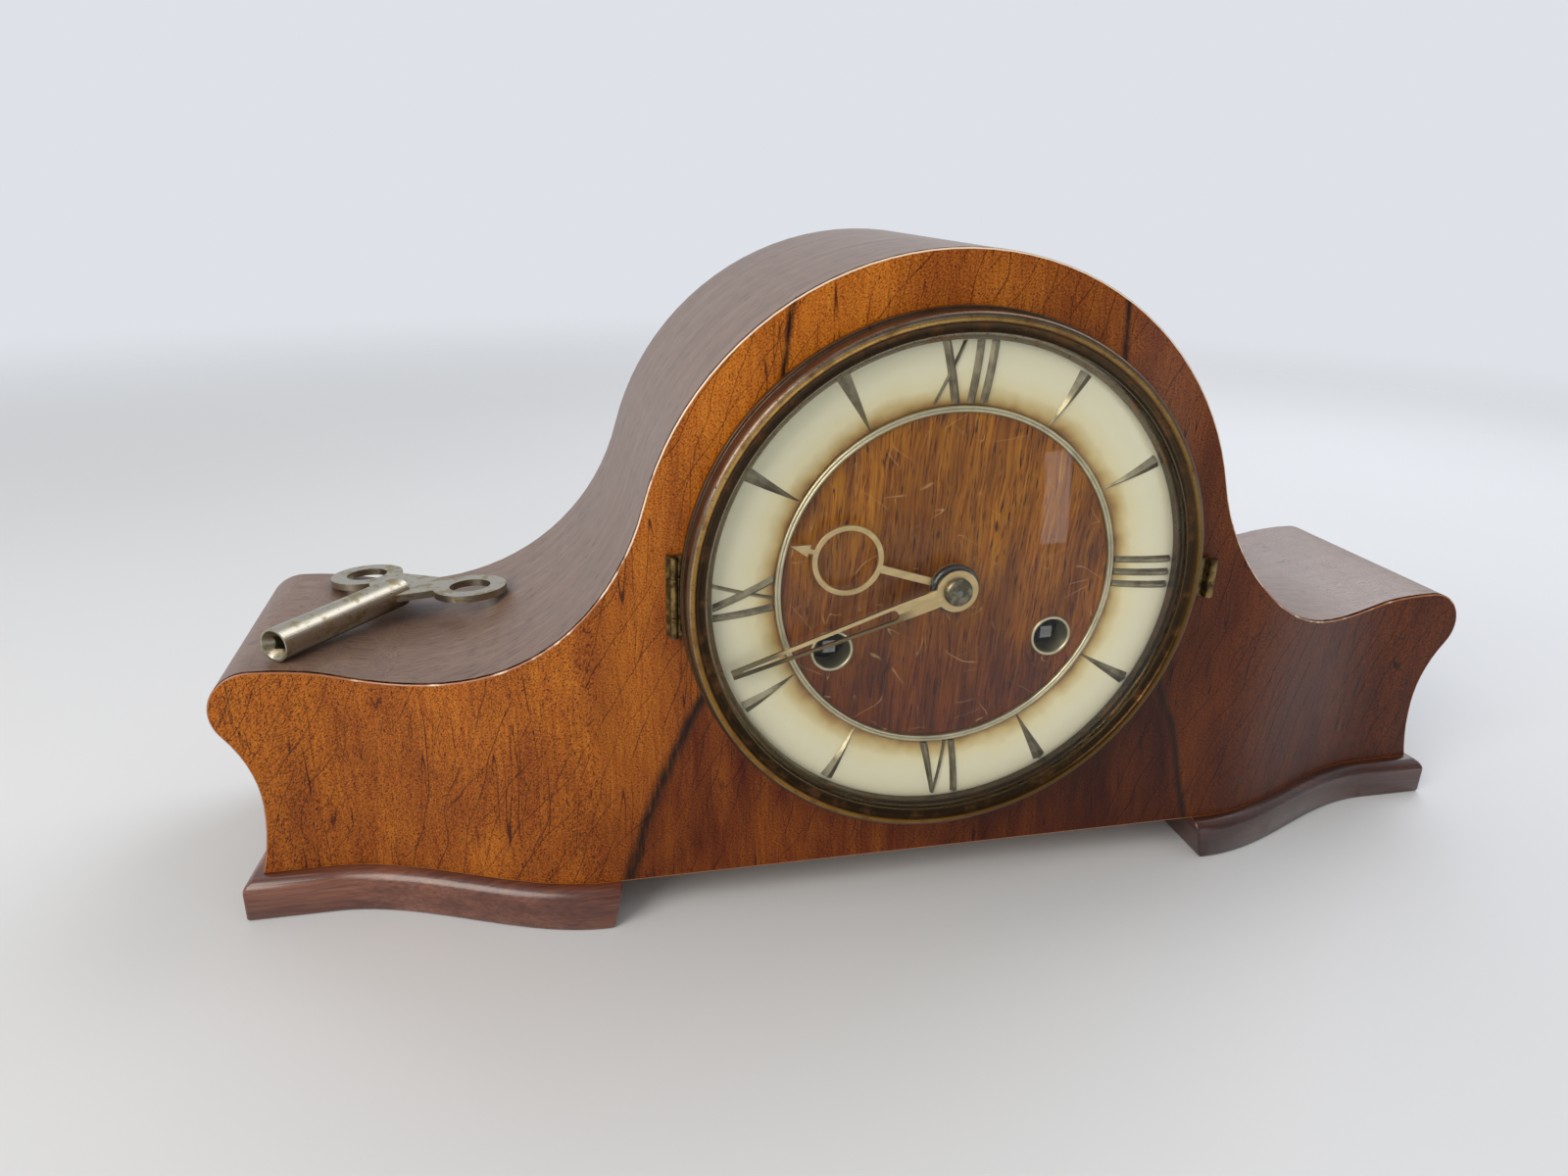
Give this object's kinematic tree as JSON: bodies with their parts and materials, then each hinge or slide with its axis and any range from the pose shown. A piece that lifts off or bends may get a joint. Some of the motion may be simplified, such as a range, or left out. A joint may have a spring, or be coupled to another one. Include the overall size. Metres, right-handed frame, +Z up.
{
  "type": "tambour mantel clock",
  "caption": "Serpentine-fronted wooden mantel clock on moulded feet, with hinged brass bezel and domed glass, striking movement, gong, rear door and winding key.",
  "frame": {"origin": "on the surface the clock stands on, under the middle of its length and depth (bottom centre of the bounding box)", "axes": "+X to the right seen from the dial side, +Y away from the viewer towards the rear door, +Z up; the dial faces -Y"},
  "size_m": [0.408, 0.1238, 0.193],
  "materials": {
    "figured_walnut": "gloss",
    "hood_walnut": "satin",
    "inner_wood": "raw",
    "foot_wood": "satin",
    "aged_brass": "aged",
    "hand_brass": "matt",
    "movement_brass": "satin",
    "cream_enamel": "satin",
    "dial_walnut": "gloss",
    "bronzed_marks": "satin",
    "steel": "polished",
    "blued_spring": "satin",
    "worn_nickel": "worn",
    "black_gloss": "gloss",
    "clear_glass": "gloss",
    "cast_iron": "rough",
    "gong_bronze": "satin"
  },
  "bodies": {
    "case": {"front_veneer": "figured_walnut", "front_board": "inner_wood", "case_wrap": "hood_walnut", "base_board": "inner_wood", "back_frame": "inner_wood", "foot_left": "foot_wood", "foot_right": "foot_wood", "foot_screws": "steel", "rear_hinge_frame_leaves": "aged_brass", "dial_plate": "aged_brass", "dial_centre": "dial_walnut", "winding_grommets": "aged_brass", "inner_ring": "aged_brass", "chapter_ring": "cream_enamel", "hour_marks": "bronzed_marks", "dial_screws": "steel", "bezel_hinge_leaf": "aged_brass", "front_plate": "movement_brass", "back_plate": "movement_brass", "pillars": "movement_brass", "standoffs": "steel", "movement_nuts": "steel", "suspension_cock": "movement_brass", "gong_block": "cast_iron", "gong_rods": "gong_bronze"},
    "bezel_door": {"bezel": "aged_brass", "glass": "clear_glass", "glass_ring": "aged_brass", "bezel_hinge_door_leaf": "aged_brass", "bezel_tab": "aged_brass"},
    "minute_set": {"minute_hand": "hand_brass", "hand_nut": "aged_brass", "centre_arbor": "steel", "cannon_pinion": "steel"},
    "hour_set": {"hour_hand": "hand_brass", "hour_hand_boss": "black_gloss", "hour_wheel": "movement_brass"},
    "minute_wheel": {"minute_wheel": "movement_brass"},
    "centre_wheel": {"centre_wheel": "movement_brass"},
    "second_wheel": {"second_wheel": "movement_brass"},
    "third_wheel": {"third_wheel": "movement_brass"},
    "escape_wheel": {"escape_wheel": "movement_brass"},
    "going_barrel": {"going_barrel": "movement_brass", "going_mainspring": "blued_spring"},
    "going_winding_arbor": {"going_winding_arbor": "steel"},
    "going_click": {"going_click": "steel"},
    "strike_barrel": {"strike_barrel": "movement_brass", "strike_mainspring": "blued_spring"},
    "strike_winding_arbor": {"strike_winding_arbor": "steel"},
    "strike_click": {"strike_click": "steel"},
    "pin_wheel": {"pin_wheel": "movement_brass"},
    "gathering_wheel": {"gathering_wheel": "movement_brass"},
    "fly": {"fly": "movement_brass"},
    "hammers": {"hammers": "steel"},
    "anchor": {"anchor": "steel"},
    "pendulum": {"pendulum": "movement_brass"},
    "rear_door": {"rear_door": "inner_wood", "rear_hinge_door_leaves": "aged_brass"},
    "rear_turn_button": {"rear_turn_button": "aged_brass"},
    "key": {"key": "worn_nickel"}
  },
  "joints": [
    {"name": "bezel_hinge", "type": "hinge", "parent": "case", "child": "bezel_door", "pos_m": [-0.0774, -0.0465, 0.103], "axis": [0, 0, -1], "range_deg": [0, 120]},
    {"name": "minute_turn", "type": "hinge", "parent": "case", "child": "minute_set", "pos_m": [0, -0.0441, 0.103], "axis": [0, 1, 0], "continuous": true},
    {"name": "hour_turn", "type": "hinge", "parent": "case", "child": "hour_set", "pos_m": [0, -0.0441, 0.103], "axis": [0, 1, 0], "continuous": true},
    {"name": "minute_wheel_turn", "type": "hinge", "parent": "case", "child": "minute_wheel", "pos_m": [0, -0.0341, 0.091], "axis": [0, 1, 0], "continuous": true},
    {"name": "third_wheel_turn", "type": "hinge", "parent": "case", "child": "third_wheel", "pos_m": [0.004, -0.0141, 0.12319], "axis": [0, 1, 0], "continuous": true},
    {"name": "escape_wheel_turn", "type": "hinge", "parent": "case", "child": "escape_wheel", "pos_m": [0, -0.0141, 0.14012], "axis": [0, 1, 0], "continuous": true},
    {"name": "centre_wheel_turn", "type": "hinge", "parent": "case", "child": "centre_wheel", "pos_m": [0, -0.0141, 0.103], "axis": [0, 1, 0], "continuous": true},
    {"name": "second_wheel_turn", "type": "hinge", "parent": "case", "child": "second_wheel", "pos_m": [0.02074, -0.0141, 0.1063], "axis": [0, 1, 0], "continuous": true},
    {"name": "going_barrel_turn", "type": "hinge", "parent": "case", "child": "going_barrel", "pos_m": [0.0332, -0.0141, 0.0844], "axis": [0, 1, 0], "continuous": true},
    {"name": "going_winding_turn", "type": "hinge", "parent": "case", "child": "going_winding_arbor", "pos_m": [0.0332, -0.0141, 0.0844], "axis": [0, 1, 0], "continuous": true},
    {"name": "going_click_swing", "type": "hinge", "parent": "case", "child": "going_click", "pos_m": [0.0332, -0.0321, 0.0984], "axis": [0, -1, 0], "range_deg": [0, 8]},
    {"name": "gathering_wheel_turn", "type": "hinge", "parent": "case", "child": "gathering_wheel", "pos_m": [-0.02842, -0.0141, 0.12867], "axis": [0, 1, 0], "continuous": true},
    {"name": "pin_wheel_turn", "type": "hinge", "parent": "case", "child": "pin_wheel", "pos_m": [-0.02668, -0.0141, 0.10874], "axis": [0, 1, 0], "continuous": true},
    {"name": "fly_turn", "type": "hinge", "parent": "case", "child": "fly", "pos_m": [-0.01601, -0.0141, 0.13908], "axis": [0, 1, 0], "continuous": true},
    {"name": "strike_barrel_turn", "type": "hinge", "parent": "case", "child": "strike_barrel", "pos_m": [-0.0332, -0.0141, 0.0844], "axis": [0, 1, 0], "continuous": true},
    {"name": "strike_winding_turn", "type": "hinge", "parent": "case", "child": "strike_winding_arbor", "pos_m": [-0.0332, -0.0141, 0.0844], "axis": [0, 1, 0], "continuous": true},
    {"name": "strike_click_swing", "type": "hinge", "parent": "case", "child": "strike_click", "pos_m": [-0.0332, -0.0321, 0.0984], "axis": [0, 1, 0], "range_deg": [0, 8]},
    {"name": "hammer_lift", "type": "hinge", "parent": "case", "child": "hammers", "pos_m": [-0.046, 0.0059, 0.06], "axis": [0, -1, 0], "range_deg": [0, 18]},
    {"name": "pendulum_swing", "type": "hinge", "parent": "case", "child": "pendulum", "pos_m": [0, 0.0299, 0.15352], "axis": [0, 1, 0], "range_deg": [-3, 3]},
    {"name": "anchor_rock", "type": "hinge", "parent": "case", "child": "anchor", "pos_m": [0, 0.0059, 0.15352], "axis": [0, 1, 0], "range_deg": [-3, 3]},
    {"name": "rear_door_swing", "type": "hinge", "parent": "case", "child": "rear_door", "pos_m": [-0.0616, 0.0604, 0.09], "axis": [0, 0, 1], "range_deg": [0, 160]},
    {"name": "rear_button_turn", "type": "hinge", "parent": "case", "child": "rear_turn_button", "pos_m": [0.069, 0.0589, 0.105], "axis": [0, 1, 0], "range_deg": [0, 90]},
    {"name": "key_lift", "type": "slide", "parent": "case", "child": "key", "axis": [0, 0, 1], "range_m": [0, 0.08]}
  ],
  "couplings": [
    {"joint": "hour_turn", "follows": "minute_turn", "ratio": 0.083333},
    {"joint": "minute_wheel_turn", "follows": "minute_turn", "ratio": -0.33333},
    {"joint": "escape_wheel_turn", "follows": "third_wheel_turn", "ratio": -11.429},
    {"joint": "centre_wheel_turn", "follows": "third_wheel_turn", "ratio": -0.088889},
    {"joint": "second_wheel_turn", "follows": "third_wheel_turn", "ratio": 0.014815},
    {"joint": "going_barrel_turn", "follows": "third_wheel_turn", "ratio": -0.0018519},
    {"joint": "fly_turn", "follows": "gathering_wheel_turn", "ratio": -8},
    {"joint": "pin_wheel_turn", "follows": "gathering_wheel_turn", "ratio": -0.11111},
    {"joint": "strike_barrel_turn", "follows": "gathering_wheel_turn", "ratio": 0.013889},
    {"joint": "anchor_rock", "follows": "pendulum_swing", "ratio": 1}
  ]
}
